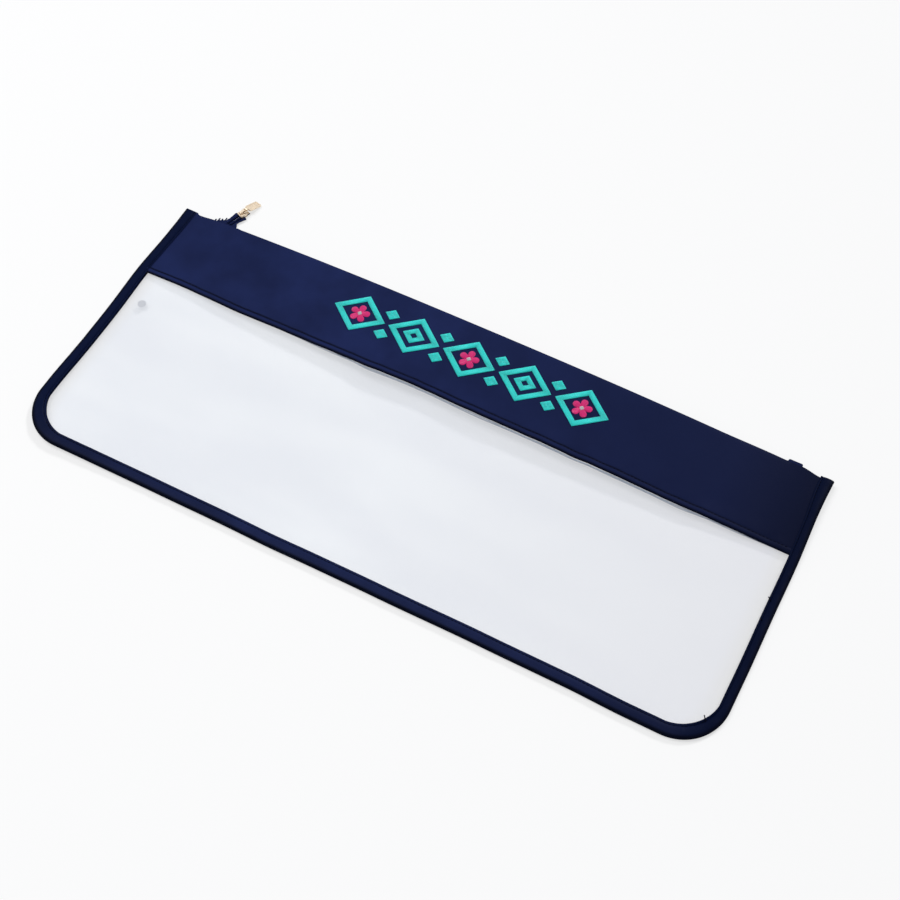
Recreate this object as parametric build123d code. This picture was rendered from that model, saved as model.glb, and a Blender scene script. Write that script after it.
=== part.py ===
from build123d import *
import math
import os

# A flat zipped bag for a tile game: clear sheet windows front and back, a cloth band across
# the top of each, one binding tape round the sides and bottom, and a zip set inside the mouth.
# The zip is open, and its end comes out of the mouth as a short tail with the slider on it.
# Millimetres. +X runs along the bag, +Y towards its mouth and +Z out of its front.
# The origin is the middle of the back, which lies on the table at Z = 0.

# Bag
bag_width = 584.0
bag_height = 250.0
corner_radius = 38.0
mouth_rise = 8.4  # how far the front lip arches up over the flat side seams
lip_fullness = 2.4  # 2 makes the lip's arch a parabola, and more makes its top flatter
binding_setback = 1.0  # from the lip down to the binding's two top ends

# Cloth and sheet
window_sheet = 0.4
band_cloth = 0.6
binding_cloth = 0.6
tape_cloth = 0.5
binding_width = 9.5
fold_radius = 1.2  # rounding of the binding's folded outer edge
band_depth = 75.0
back_band_depth = 66.0  # no dark edge shows through the windows below the front band
window_overlap = 10.0  # how far each window runs up under its band
hem_depth = 8.0  # the band's top edge is turned in this far, over the zip tape
step_run = 2.0  # a sheet climbs onto a cloth edge over this length
sag_run = 6.0  # the back sags from the raised seam to the table over this length
facet_length = 30.0  # the sheets' faces are at most this long up the bag

# Zip, sewn into the mouth
tape_width = 12.5
tape_stagger = 2.2  # the back tape is set this much deeper, so the two coils lie side by side
coil_width = 1.8
coil_height = 1.6
zip_left_inset = 52.0  # from the bag's side to the hems' left end, where the tail leaves the mouth
zip_right_inset = 39.0
tape_end_width = 12.0  # the tape's right end, turned up out of the mouth
tape_end_proud = 3.5
top_stop_length = 2.4
top_stop_inset = 6.0

# Tail, built along its own line: w across it, s along it and n out of its face
tail_inset = 38.8  # from the bag's side to the middle of the tail
tail_heading = 20.0  # degrees from +Y towards +X
tail_gap = 0.8  # from the lip to the line that the tail folds on
root_gap = 0.2  # from that line to the tail's cut edge
lead_out_width = 22.0  # the sewn tapes' way out of the mouth, beside the hems' left ends
coil_parting = 0.55  # from the tail's middle line to each row of coil turns
coil_pitch = 1.1
coil_wire = 0.5
first_turn = 2.6
turn_count = 15
tape_parting = 1.2
tongue_half_width = 3.0
bottom_stop_length = 1.8
bottom_stop_plate = 0.4
stop_gap = 0.3

# Slider
slider_length = 7.2
slider_shoulder = 2.2
slider_taper = 0.15  # the narrow end is this much closer in on each side
slider_corner = 0.9
slider_from_root = 17.6  # from the fold line to the slider's middle
slider_plate = 0.9
slider_wall = 0.5
slider_side_clearance = 0.2
slider_face_clearance = 0.15
post_width = 0.8
post_length = 2.4
post_start = 0.4  # from the slider's wide end
bridge_strap = 1.5
bridge_thickness = 0.75
bridge_length = 5.6

# Link and tab
link_wire = 0.9
link_width = 4.8
link_span = 3.4
link_clearance = 0.25
link_droop = 2.5
link_turn = 5.0  # degrees that the link and tab lie round towards the bag's left
link_offset = 1.2  # from the slider's middle to the link's near bar
tab_width = 7.0
tab_plate = 1.0
tab_reach = 14.8  # from the eye's centre to the tab's far end
tab_corner = 1.2
tab_rim = 1.2
tab_recess = 0.2
tab_neck = 2.6
neck_length = 0.45  # from the eye to the tab's near end
eye_clearance = 0.08
eye_wall = 0.6
table_clearance = 0.05

# Heights and lines that follow
seam_stack = 2 * (band_cloth + window_sheet)
seam_low = binding_cloth
seam_high = seam_low + seam_stack
binding_height = seam_stack + 2 * binding_cloth
half_width = bag_width / 2
lip_y = bag_height / 2
foot_y = -bag_height / 2
half_open = half_width - binding_width - 1.0
rise_start = foot_y + corner_radius - 0.25 * (corner_radius - binding_width)
band_edge = lip_y - band_depth
window_top = band_edge + window_overlap
back_band_edge = lip_y - back_band_depth
back_window_top = back_band_edge + window_overlap
fold_y = lip_y - band_cloth
front_tape_low = fold_y - tape_width
back_tape_high = fold_y - tape_stagger
back_tape_low = back_tape_high - tape_width
corner_reach = corner_radius - (corner_radius - binding_width) * math.cos(math.radians(45))
sag_margin = corner_reach + 2.0
sag_x = half_width - sag_margin
flat_x = sag_x - sag_run
sag_y = foot_y + sag_margin
flat_y = sag_y + sag_run
zip_left = zip_left_inset - half_width
zip_right = half_width - zip_right_inset
tail_x = tail_inset - half_width
coil_end_x = zip_right - top_stop_inset
lead_out_x = zip_left - lead_out_width

# Levels of the tail and slider, from the middle of the tape
half_tape = tape_cloth / 2
coil_top = half_tape + coil_height
plate_low = -half_tape - slider_face_clearance
plate_high = coil_top + slider_face_clearance
tail_level = slider_plate - plate_low + table_clearance
channel_half = coil_parting + coil_width + slider_side_clearance
slider_half_width = channel_half + slider_wall
slider_low = slider_from_root - slider_length / 2
slider_high = slider_from_root + slider_length / 2
stop_start = slider_high + stop_gap
tail_end = stop_start + bottom_stop_length + stop_gap
link_radius = link_wire / 2
link_bar_s = slider_from_root + link_offset
link_bar_n = plate_high + slider_plate + link_clearance + link_radius
bridge_opening = 2 * link_clearance + link_wire
eye_radius = link_radius + eye_clearance
eye_outer = eye_radius + eye_wall

tail_plane = Plane(
    origin=(tail_x, lip_y + tail_gap, tail_level),
    x_dir=(math.cos(math.radians(tail_heading)), -math.sin(math.radians(tail_heading)), 0),
    z_dir=(0, 0, 1),
)


ARCH_STEPS = 11
ARCH = []
for i in range(-ARCH_STEPS, ARCH_STEPS + 1):
    share = math.sin(math.radians(90 * i / ARCH_STEPS))  # closer together towards the sides
    ARCH.append((half_open * share, mouth_rise * (1 - abs(share) ** lip_fullness)))


def on_tail(shape):
    """Moves a shape from the tail's own (w, s, n) to the bag."""
    return tail_plane.location * shape


def arch(x):
    """The mouth's rise at x, as straight lines between the arch's drawn places."""
    for left, right in zip(ARCH, ARCH[1:]):
        if left[0] <= x <= right[0]:
            return left[1] + (right[1] - left[1]) * (x - left[0]) / (right[0] - left[0])
    return 0.0


def front_lift(x, y):
    """How far the front stands above its flat seam: straight up the bag, arched across it."""
    return arch(x) * max(0.0, (y - rise_start) / (lip_y - rise_start))


def front_top(x, y):
    return seam_high + front_lift(x, y)


def band_under(x, y):
    return front_top(x, y) - band_cloth


def back_bottom(x, y):
    """Underside of the back: on the table in the middle, and raised into the binding."""
    side = min(1.0, max(0.0, (abs(x) - flat_x) / sag_run))
    foot = min(1.0, max(0.0, (flat_y - y) / sag_run))
    return binding_cloth * max(side, foot)


def stations(low, high):
    """The two ends of a strip and the arch's drawn places between them."""
    return [low, *[x for x, rise in ARCH if low < x < high], high]


def rows(low, high):
    """Places up the bag from low to high, at most one facet apart."""
    count = math.ceil((high - low) / facet_length)
    return [low + (high - low) * i / count for i in range(count + 1)]


def strip(places, section):
    """A strip along X through the (y, z) outlines that section(x) gives at each place."""
    wires = [Wire.make_polygon([(x, y, z) for y, z in section(x)]) for x in places]
    solid = Solid.make_loft(wires, True)
    return solid if solid.volume > 0 else Solid(solid.wrapped.Reversed())


def bag_outline(inset, top):
    """The bag's outline up to a given top, with its two bottom corners rounded."""
    low = foot_y + inset
    plan = Pos(0, (low + top) / 2) * Rectangle(bag_width - 2 * inset, top - low)
    return fillet(plan.vertices().sort_by(Axis.Y)[:2], corner_radius - inset)


def in_outline(sheet):
    """Trims a sheet to the outline that the binding's fold leaves inside it."""
    plan = bag_outline(binding_cloth, lip_y + 1)
    return sheet & Pos(0, 0, -1) * extrude(plan, binding_height + mouth_rise + 2)


def edge_binding():
    """One tape folded round the sheets' edges: left side, bottom and right side."""
    top = lip_y - binding_setback
    tape = extrude(bag_outline(0, top), binding_height)
    rims = [e for e in tape.edges() if abs(e.center().Z - binding_height / 2) > 1e-3]
    tape = fillet([e for e in rims if e.center().Y < top - 1e-3], fold_radius)
    opening = Pos(0, 0, -1) * extrude(bag_outline(binding_width, lip_y + 1), binding_height + 2)
    slot = Pos(0, 0, seam_low) * extrude(bag_outline(binding_cloth, lip_y + 1), seam_stack)
    return tape - opening - slot


def front_window():
    """Clear front sheet: full height at the seams, and one cloth lower under its band."""
    def section(x):
        rise = rows(rise_start, band_edge - step_run)
        places = [foot_y + binding_cloth, *rise, band_edge, window_top]
        tops = [front_top(x, y) - (band_cloth if y >= band_edge else 0) for y in places]
        outer = list(zip(places, tops))
        return outer + [(y, z - window_sheet) for y, z in reversed(outer)]

    edge = half_width - binding_cloth
    return in_outline(strip(stations(-edge, edge), section))


def back_window():
    """Clear back sheet: a shallow tray that lies on the table, stepping up over its band."""
    def section(x):
        step = back_band_edge - step_run
        places = [foot_y + binding_cloth, sag_y, flat_y, step, back_band_edge, back_window_top]
        lows = [back_bottom(x, y) + (band_cloth if y >= back_band_edge else 0) for y in places]
        under = list(zip(places, lows))
        return under + [(y, z + window_sheet) for y, z in reversed(under)]

    edge = half_width - binding_cloth
    return in_outline(strip([-edge, -sag_x, -flat_x, flat_x, sag_x, edge], section))


def front_band():
    """Front cloth band, with its top edge turned in over the zip tape between the zip's ends."""
    def leaf(x):
        outer = [(y, front_top(x, y)) for y in rows(band_edge, lip_y)]
        return outer + [(y, z - band_cloth) for y, z in reversed(outer)]

    def hem(x):
        inner = lip_y - hem_depth
        return [
            (lip_y, band_under(x, lip_y)),
            (lip_y, band_under(x, lip_y) - tape_cloth - band_cloth),
            (inner, band_under(x, inner) - tape_cloth - band_cloth),
            (inner, band_under(x, inner) - tape_cloth),
            (fold_y, band_under(x, fold_y) - tape_cloth),
            (fold_y, band_under(x, fold_y)),
        ]

    edge = half_width - binding_cloth
    return strip(stations(-edge, edge), leaf) + strip(stations(zip_left, zip_right), hem)


def back_band():
    """Back cloth band, made like the front's but shallower, and flat on the table."""
    def leaf(x):
        low = back_bottom(x, 0)
        high = low + band_cloth
        return [(back_band_edge, low), (lip_y, low), (lip_y, high), (back_band_edge, high)]

    def hem(x):
        inner = lip_y - hem_depth
        turned = tape_cloth + band_cloth
        return [
            (lip_y, band_cloth),
            (lip_y, band_cloth + turned),
            (inner, band_cloth + turned),
            (inner, band_cloth + tape_cloth),
            (back_tape_high, band_cloth + tape_cloth),
            (back_tape_high, band_cloth),
        ]

    edge = half_width - binding_cloth
    cloth = strip([-edge, -sag_x, -flat_x, flat_x, sag_x, edge], leaf)
    return cloth + strip([zip_left, zip_right], hem)


def tape_strip(low, high, ends, level):
    """A length of zip tape under a face: level(x, y) is its top, and ends are its two Y edges."""
    def section(x):
        top = [(y, level(x, y)) for y in ends]
        return top + [(y, z - tape_cloth) for y, z in reversed(top)]

    return strip(stations(low, high), section)


def back_tape_top(x, y):
    return band_cloth + tape_cloth


def front_lead_out():
    """The front tape's left end, coming down to the tail's level where it leaves the mouth."""
    def section(x):
        bend = front_tape_low + tape_width / 3
        top = [(y, band_under(x, y)) for y in (front_tape_low, bend)]
        top.append((lip_y, tail_level + half_tape + tape_cloth))
        return top + [(y, z - tape_cloth) for y, z in reversed(top)]

    return strip(stations(lead_out_x, zip_left), section)


def zipper_tape_front():
    """Front zip tape in its hem. Its right end is turned up, and its left end leads to the tail."""
    tape = tape_strip(zip_left, zip_right, (front_tape_low, fold_y), band_under)
    end = (front_tape_low, lip_y + tape_end_proud)
    tape += tape_strip(zip_right, zip_right + tape_end_width, end, band_under)
    return tape + front_lead_out()


def zipper_tape_back():
    """Back zip tape in its hem, with the same two ends lying flat."""
    tape = tape_strip(zip_left, zip_right, (back_tape_low, back_tape_high), back_tape_top)
    end = (back_tape_low, lip_y + tape_end_proud)
    tape += tape_strip(zip_right, zip_right + tape_end_width, end, back_tape_top)
    return tape + tape_strip(lead_out_x, zip_left, (back_tape_low, lip_y), back_tape_top)


def bead(low, high, start, width, height, face, side):
    """A rounded bead along a tape: face(x, y) is the tape's face and side is +1 above it."""
    rounding = 0.3 * height

    def section(x):
        outline = [
            (start, 0),
            (start, height - rounding),
            (start + rounding, height),
            (start + width - rounding, height),
            (start + width, height - rounding),
            (start + width, 0),
        ]
        return [(y, face(x, y) + side * up) for y, up in outline]

    return strip(stations(low, high), section)


def front_tape_under(x, y):
    return band_under(x, y) - tape_cloth


def zipper_coil_front():
    """The front row of coil, along its tape's hanging edge."""
    return bead(zip_left, coil_end_x, front_tape_low, coil_width, coil_height, front_tape_under, -1)


def zipper_coil_back():
    """The back row of coil, deeper in the mouth than the front one."""
    return bead(zip_left, coil_end_x, back_tape_low, coil_width, coil_height, back_tape_top, 1)


def zipper_top_stop_front():
    """Crimped metal stop at the end of the front row."""
    low = coil_end_x + stop_gap
    high = low + top_stop_length
    return bead(low, high, front_tape_low, coil_width, coil_height, front_tape_under, -1)


def zipper_top_stop_back():
    """Crimped metal stop at the end of the back row."""
    low = coil_end_x + stop_gap
    high = low + top_stop_length
    return bead(low, high, back_tape_low, coil_width, coil_height, back_tape_top, 1)


def root_s(w):
    """The tail's cut edge, which lies along the lip, at a place across the tail."""
    return w * math.tan(math.radians(tail_heading)) + root_gap


def tail_tape_left():
    """Left half of the tail's tape: it widens to its frayed root and narrows to the tongue."""
    outline = [
        (-tape_parting, root_s(-tape_parting)),
        (-10.8, root_s(-10.8)),
        (-10.2, 1.5),
        (-6.2, 6.0),
        (-5.6, 14.8),
        (-tongue_half_width, 17.6),
        (-tongue_half_width, tail_end),
        (-tape_parting, tail_end),
    ]
    return on_tail(Pos(0, 0, -half_tape) * extrude(make_face(Polyline(*outline, close=True)), tape_cloth))


def tail_tape_right():
    """Right half of the tail's tape, shorter and fuller at its root."""
    outline = [
        (tape_parting, root_s(tape_parting)),
        (8.9, root_s(8.9)),
        (4.4, 8.4),
        (6.1, 16.8),
        (tongue_half_width, 18.2),
        (tongue_half_width, tail_end),
        (tape_parting, tail_end),
    ]
    return on_tail(Pos(0, 0, -half_tape) * extrude(make_face(Polyline(*outline, close=True)), tape_cloth))


def coil_row(side, shift):
    """One row of hairpin turns on the tail, joined by a spine along its outer side."""
    head = coil_parting
    tail = coil_parting + coil_width
    middle = (head + tail) / 2
    turn = Pos(middle, coil_height / 2) * Rectangle(coil_width, coil_height)
    turn = chamfer(turn.vertices(), 0.4)
    inner_width = coil_width - 2 * coil_wire
    inner_height = coil_height - 2 * coil_wire
    turn -= Pos(middle, coil_height / 2) * Rectangle(inner_width, inner_height)
    loop = extrude(Plane.XZ * turn, -coil_wire)
    row = [Pos(0, first_turn + shift + i * coil_pitch, 0) * loop for i in range(turn_count)]
    spine_length = (turn_count - 1) * coil_pitch
    spine = Pos(tail - coil_wire, first_turn + shift + coil_wire / 2, coil_height / 2) * Box(
        coil_wire, spine_length, coil_wire, align=(Align.MIN, Align.MIN, Align.CENTER)
    )
    whole = Pos(0, 0, half_tape) * spine.fuse(*row)
    return on_tail(whole if side > 0 else mirror(whole, Plane.YZ))


def tail_coil_left():
    """Left row of turns on the tail."""
    return coil_row(-1, 0.0)


def tail_coil_right():
    """Right row of turns on the tail, half a pitch on from the left one."""
    return coil_row(1, coil_pitch / 2)


def zipper_bottom_stop():
    """Metal clamp across both tapes at the tail's tip, low enough for the hanging tab to pass."""
    half = tongue_half_width - 0.4
    height = tape_cloth + 2 * bottom_stop_plate
    clamp = Pos(0, stop_start + bottom_stop_length / 2) * Box(2 * half, bottom_stop_length, height)
    clamp = chamfer(clamp.edges().filter_by(Axis.Y), 0.2)
    for side in (-1, 1):
        width = half - tape_parting
        place = Pos(side * (tape_parting + width / 2 + 0.5), stop_start + bottom_stop_length / 2)
        clamp -= place * Box(width + 1, bottom_stop_length + 1, tape_cloth)
    return on_tail(clamp)


def slider_outline():
    """The slider's plates from above: wide shoulders towards the bag and a narrower far end."""
    narrow = slider_half_width - slider_taper
    outline = Polyline(
        (-slider_half_width, slider_low),
        (slider_half_width, slider_low),
        (slider_half_width, slider_low + slider_shoulder),
        (narrow, slider_high),
        (-narrow, slider_high),
        (-slider_half_width, slider_low + slider_shoulder),
        close=True,
    )
    face = make_face(outline)
    ends = [v for v in face.vertices() if abs(v.Y - slider_low) < 1e-6 or abs(v.Y - slider_high) < 1e-6]
    return fillet(ends, slider_corner)


def slider_body():
    """Two plates joined by a post between the rows, with rims hanging beside the rows."""
    plan = slider_outline()
    low = Pos(0, 0, plate_low - slider_plate) * extrude(plan, slider_plate)
    rim_low = half_tape + slider_face_clearance
    cap = Pos(0, 0, rim_low) * extrude(plan, plate_high + slider_plate - rim_low)
    low = chamfer(low.edges().group_by(Axis.Z)[0], 0.25)
    cap = chamfer(cap.edges().group_by(Axis.Z)[-1], 0.25)
    channel = Pos(0, slider_from_root, rim_low - 1) * Box(
        2 * channel_half, slider_length + 2, plate_high - rim_low + 1,
        align=(Align.CENTER, Align.CENTER, Align.MIN)
    )
    post_height = plate_high - plate_low + slider_plate
    post = Pos(0, slider_low + post_start, plate_low - slider_plate / 2) * Box(
        post_width, post_length, post_height, align=(Align.CENTER, Align.MIN, Align.MIN)
    )
    return on_tail(low + (cap - channel) + post)


def slider_bridge():
    """Strap over the slider that holds the link's near bar."""
    outer = bridge_opening + bridge_thickness
    profile = Rectangle(bridge_length, outer, align=(Align.CENTER, Align.MIN))
    profile = fillet(profile.vertices().sort_by(Axis.Y)[2:], 0.9)
    inner = Rectangle(bridge_length - 2 * bridge_thickness, bridge_opening, align=(Align.CENTER, Align.MIN))
    inner = fillet(inner.vertices().sort_by(Axis.Y)[2:], 0.3)
    strap = extrude(Plane.YZ * (profile - inner), bridge_strap / 2, both=True)
    return on_tail(Pos(0, slider_from_root, plate_high + slider_plate) * strap)


def link_place():
    """The link's near bar, with the link's own droop."""
    return Pos(0, link_bar_s, link_bar_n) * Rot(0, 0, link_turn) * Rot(-link_droop, 0, 0)


def pull_link():
    """Wire loop: its near bar is in the bridge and its far bar carries the tab."""
    half = (link_width - link_wire) / 2
    path = Polyline((-half, 0, 0), (half, 0, 0), (half, link_span, 0), (-half, link_span, 0), close=True)
    path = fillet(path.vertices(), link_radius + 0.25)
    start = Plane(origin=(0, 0, 0), z_dir=(1, 0, 0))
    wire = sweep(start * Circle(link_radius), path)
    return on_tail(link_place() * wire)


def tab_place():
    """The tab's eye on the link's far bar, with the tab's end just clear of the table."""
    eye = link_place() * Pos(0, link_span, 0)
    drop = tail_level + eye.position.Z - table_clearance
    pitch = math.asin((drop - tab_plate / 2) / tab_reach)
    return Pos(*eye.position) * Rot(0, 0, link_turn) * Rot(-math.degrees(pitch), 0, 0)


def pull_tab():
    """Flat tab with a rolled eye, a neck and a recessed field."""
    shoulder = eye_outer + neck_length
    length = tab_reach - shoulder
    middle = Pos(0, shoulder + length / 2)
    plate = middle * RectangleRounded(tab_width, length, tab_corner)
    plate = Pos(0, 0, -tab_plate / 2) * extrude(plate, tab_plate)
    field = middle * RectangleRounded(tab_width - 2 * tab_rim, length - 2 * tab_rim, tab_corner / 2)
    plate -= Pos(0, 0, tab_plate / 2 - tab_recess) * extrude(field, tab_recess)
    plate -= Pos(0, 0, -tab_plate / 2) * extrude(field, tab_recess)
    neck = Pos(0, shoulder / 2 + 0.5) * Box(tab_neck, shoulder + 1, tab_plate)
    eye = Rot(0, 90, 0) * Cylinder(eye_outer, tab_neck)
    bore = Rot(0, 90, 0) * Cylinder(eye_radius, tab_neck + 1)
    return on_tail(tab_place() * (plate + neck + eye - bore))


PARTS = {
    "back_window": back_window,
    "front_window": front_window,
    "back_band": back_band,
    "front_band": front_band,
    "edge_binding": edge_binding,
    "zipper_tape_front": zipper_tape_front,
    "zipper_tape_back": zipper_tape_back,
    "zipper_coil_front": zipper_coil_front,
    "zipper_coil_back": zipper_coil_back,
    "zipper_top_stop_front": zipper_top_stop_front,
    "zipper_top_stop_back": zipper_top_stop_back,
    "tail_tape_left": tail_tape_left,
    "tail_tape_right": tail_tape_right,
    "tail_coil_left": tail_coil_left,
    "tail_coil_right": tail_coil_right,
    "zipper_bottom_stop": zipper_bottom_stop,
    "slider_body": slider_body,
    "slider_bridge": slider_bridge,
    "pull_link": pull_link,
    "pull_tab": pull_tab,
}

os.makedirs("parts", exist_ok=True)
for name, make in PARTS.items():
    export_step(make(), f"parts/{name}.step")
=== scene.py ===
"""A flat zipped bag for a tile game: clear windows, cloth bands, a folded binding and an open zip."""

import math
import random

import bpy
from mathutils import Matrix, Vector, noise


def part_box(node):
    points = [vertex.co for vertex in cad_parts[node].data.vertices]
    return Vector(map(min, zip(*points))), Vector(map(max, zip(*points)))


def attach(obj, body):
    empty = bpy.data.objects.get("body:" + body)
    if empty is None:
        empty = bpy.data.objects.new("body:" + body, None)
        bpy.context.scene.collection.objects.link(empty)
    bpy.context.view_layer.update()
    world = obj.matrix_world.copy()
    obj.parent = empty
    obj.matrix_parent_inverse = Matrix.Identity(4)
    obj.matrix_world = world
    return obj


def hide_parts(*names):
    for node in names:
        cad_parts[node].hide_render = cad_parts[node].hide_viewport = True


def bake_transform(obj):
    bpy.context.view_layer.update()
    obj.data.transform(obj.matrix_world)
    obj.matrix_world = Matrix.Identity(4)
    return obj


bl_info = {
    "name": "Tile bag",
    "version": (1, 0, 0),
    "blender": (4, 5, 0),
    "location": "View3D > Sidebar > Tile bag",
    "description": "Dresses the frame of a zipped tile bag in vinyl, cloth, thread and metal",
    "category": "Object",
}

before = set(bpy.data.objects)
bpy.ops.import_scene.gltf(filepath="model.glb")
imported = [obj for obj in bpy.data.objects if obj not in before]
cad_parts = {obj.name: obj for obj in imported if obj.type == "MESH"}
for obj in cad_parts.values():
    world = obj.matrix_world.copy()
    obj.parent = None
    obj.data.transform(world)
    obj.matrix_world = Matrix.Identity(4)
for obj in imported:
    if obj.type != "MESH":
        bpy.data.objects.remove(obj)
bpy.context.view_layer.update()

# Lengths are in millimetres. +X runs along the bag, +Y to its mouth and +Z out of its front.
MM = 0.001
HALF_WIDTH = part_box("edge_binding")[1][0] / MM
FOOT_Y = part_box("edge_binding")[0][1] / MM
LIP_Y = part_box("front_band")[1][1] / MM
BAND_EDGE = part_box("front_band")[0][1] / MM
BACK_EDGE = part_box("back_band")[0][1] / MM
CORNER = 38.0
BINDING_WIDTH = 9.5
CLOTH = 0.6
TAPE = 0.5
VINYL = 0.4
# How far each clear sheet goes up behind its band, and how far above the band's edge it is sewn to it
OVERLAP = 10.0
HEM_STITCHES = 5.0
# How far from the middle the bands' stitches end, and how far in from the edge the binding's are
STITCHES_END = 281
BINDING_STITCHES = 7.8
# How the front rises from its seams to the mouth
SEAM_HIGH = 2.6
MOUTH_RISE = 9.2
FULLNESS = 2.4
HALF_OPEN = HALF_WIDTH - BINDING_WIDTH - 1.0
RISE_START = FOOT_Y + CORNER - 0.25 * (CORNER - BINDING_WIDTH)
# Where the zip's sewn length ends, and the frame of its tail
ZIP_LEFT = -240.0
ZIP_RIGHT = 253.0
COIL_PITCH = 1.1
TAIL_X = -253.2
TAIL_Y = LIP_Y + 0.8
TAIL_Z = 1.35
TAIL_TURN = math.radians(20.0)


# Shape of the bag


def smooth(low, high, value):
    """0 below low, 1 above high and an even curve between."""
    t = min(1.0, max(0.0, (value - low) / (high - low)))
    return t * t * (3 - 2 * t)


def hump(value, middle, width):
    """1 at the middle, and falling off smoothly to both sides."""
    return math.exp(-(((value - middle) / width) ** 2))


def drift(x, y, z):
    """Smooth unevenness between -1 and 1, the same in each run."""
    return noise.noise(Vector((x, y, z)))


def front(x, y):
    """Outer face of the bag's front, with the lift and ripples of the slack cloth and vinyl."""
    across = max(0.0, 1 - abs(x / HALF_OPEN) ** FULLNESS)
    along = max(0.0, (y - RISE_START) / (LIP_Y - RISE_START))
    rise = MOUTH_RISE * across * along * along / (along + 0.05) * 1.05
    free = smooth(HALF_OPEN, HALF_OPEN - 60, abs(x)) * smooth(RISE_START, RISE_START + 60, y)
    slack = 1.9 * hump(x, -62, 34) * hump(y, BAND_EDGE, 26)
    slack += 0.8 * hump(x, 60, 50) * hump(y, BAND_EDGE - 8, 22)
    ripple = drift(x * 0.011, y * 0.018, 3.1) * 1.1
    ripple *= smooth(LIP_Y, BAND_EDGE - 20, y)
    ripple += 0.8 * drift(x * 0.075, y * 0.05, 7.0) * hump(y, BAND_EDGE + 9, 12)
    return SEAM_HIGH + rise + free * (slack + ripple)


def hem_relief(x, y):
    """How far the front band's lower hem stands above its cloth: two leaves, sewn down and rolled under."""
    up = max(0.0, y - BAND_EDGE - edge_drift(x))
    roll = max(0.0, 1.8 - up) / 1.8
    pucker = drift(x * 0.16, y * 0.05, 4.0) * hump(up, 7.0, 3.5)
    leaves = 0.4 * smooth(6.4, 4.2, up) - 0.45 * hump(up, HEM_STITCHES, 0.8) + 0.6 * pucker
    return leaves - 0.95 * (1 - math.sqrt(1 - roll * roll))


def back(x, y):
    """Under face of the bag's back: on the table, and raised at its seams."""
    side = smooth(HALF_WIDTH - 26, HALF_WIDTH - 18, abs(x))
    foot = smooth(FOOT_Y + 26, FOOT_Y + 18, y)
    return CLOTH * max(side, foot)


def sway(x, y):
    """The side seams aren't straight: how far their lines stand to the left at y."""
    left = 1.5 * hump(y, 52, 34) + 1.1 * hump(y, -80, 30) - 0.2 * hump(y, 0, 30) - 0.5 * hump(y, 112, 24)
    right = 1.4 * hump(y, 96, 36)
    return left * smooth(-190, -290, x) + right * smooth(230, 292, x)


def foot_drift(x, y):
    """The bottom seam isn't straight either: how far its line stands up the bag at x."""
    up = 0.4 * hump(x, 98, 25) - 0.7 * hump(x, -58, 24) - 1.3 * smooth(180, 232, x)
    return up * smooth(-50, -120, y)


def mouth_lift(x, y):
    """The stiff ends of the mouth stand a little off the table."""
    right = 2.8 * smooth(250, 288, x) * smooth(30, 105, y)
    left = 1.8 * smooth(-256, -288, x) * smooth(70, 120, y)
    return right + left


def corner_lift(x, y):
    """The bag's lower left corner curls up."""
    return 1.6 * smooth(-170, -285, x) * smooth(-40, -120, y)


def mm(x, y, z):
    """A point of the bag, given in millimetres before its seams sway and its corners lift."""
    curl = corner_lift(x, y)
    across = x - sway(x, y) + 0.54 * curl
    return Vector((across, y + foot_drift(x, y) - 0.7 * curl, z + curl + mouth_lift(x, y))) * MM


def outline_half(y, inset):
    """Half the bag's width at y, with its rounded bottom corners."""
    radius = CORNER - inset
    up = y - (FOOT_Y + inset)
    if up >= radius:
        return HALF_WIDTH - inset
    return HALF_WIDTH - CORNER + math.sqrt(max(0.0, radius**2 - (radius - up) ** 2))


def spread(low, high, count):
    """Values from low to high, both included, in this many equal steps."""
    return [low + (high - low) * i / count for i in range(count + 1)]


# Making pieces


def deselect():
    bpy.ops.object.select_all(action="DESELECT")


def select_only(*objects):
    """Selects these objects and nothing else, and makes the first of them active."""
    deselect()
    for obj in objects:
        obj.select_set(True)
    bpy.context.view_layer.objects.active = objects[0]


def dress(obj, material, node_names=()):
    """Gives a piece its material, and hides the solids it stands for."""
    obj.data.materials.clear()
    obj.data.materials.append(MATERIALS[material])
    if node_names:
        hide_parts(*node_names)


def finish_piece(obj, body, material, node_names=()):
    """Dresses a piece that rides on one body."""
    dress(obj, material, node_names)
    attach(obj, body)


def grid_piece(name, across, along, place, cell=(1.0, 1.0), merge=False):
    """A grid whose lines are the two lists, laid by place(a, b). Its UVs are in metres."""
    deselect()
    bpy.ops.mesh.primitive_grid_add(
        x_subdivisions=len(across) - 1, y_subdivisions=len(along) - 1, size=2, calc_uvs=True
    )
    obj = bpy.context.object
    obj.name = obj.data.name = name
    mesh = obj.data
    columns = len(across)
    where = []
    for i, vertex in enumerate(mesh.vertices):
        a = across[i % columns]
        b = along[i // columns]
        where.append((a * cell[0] * MM, b * cell[1] * MM))
        vertex.co = place(a, b)
    layer = mesh.uv_layers.active.data
    for loop in mesh.loops:
        layer[loop.index].uv = where[loop.vertex_index]
    if merge:
        in_edit_mode(obj, lambda: bpy.ops.mesh.remove_doubles(threshold=0.00002))
    return obj


def in_edit_mode(obj, job):
    """Runs an edit-mode job on all of the object's mesh."""
    select_only(obj)
    bpy.ops.object.mode_set(mode="EDIT")
    bpy.ops.mesh.select_all(action="SELECT")
    job()
    bpy.ops.object.mode_set(mode="OBJECT")


def apply_modifier(obj, kind, **values):
    """Adds a modifier with these values and applies it."""
    select_only(obj)
    modifier = obj.modifiers.new(kind.title(), kind)
    for key, value in values.items():
        setattr(modifier, key, value)
    bpy.ops.object.modifier_apply(modifier=modifier.name)


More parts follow.
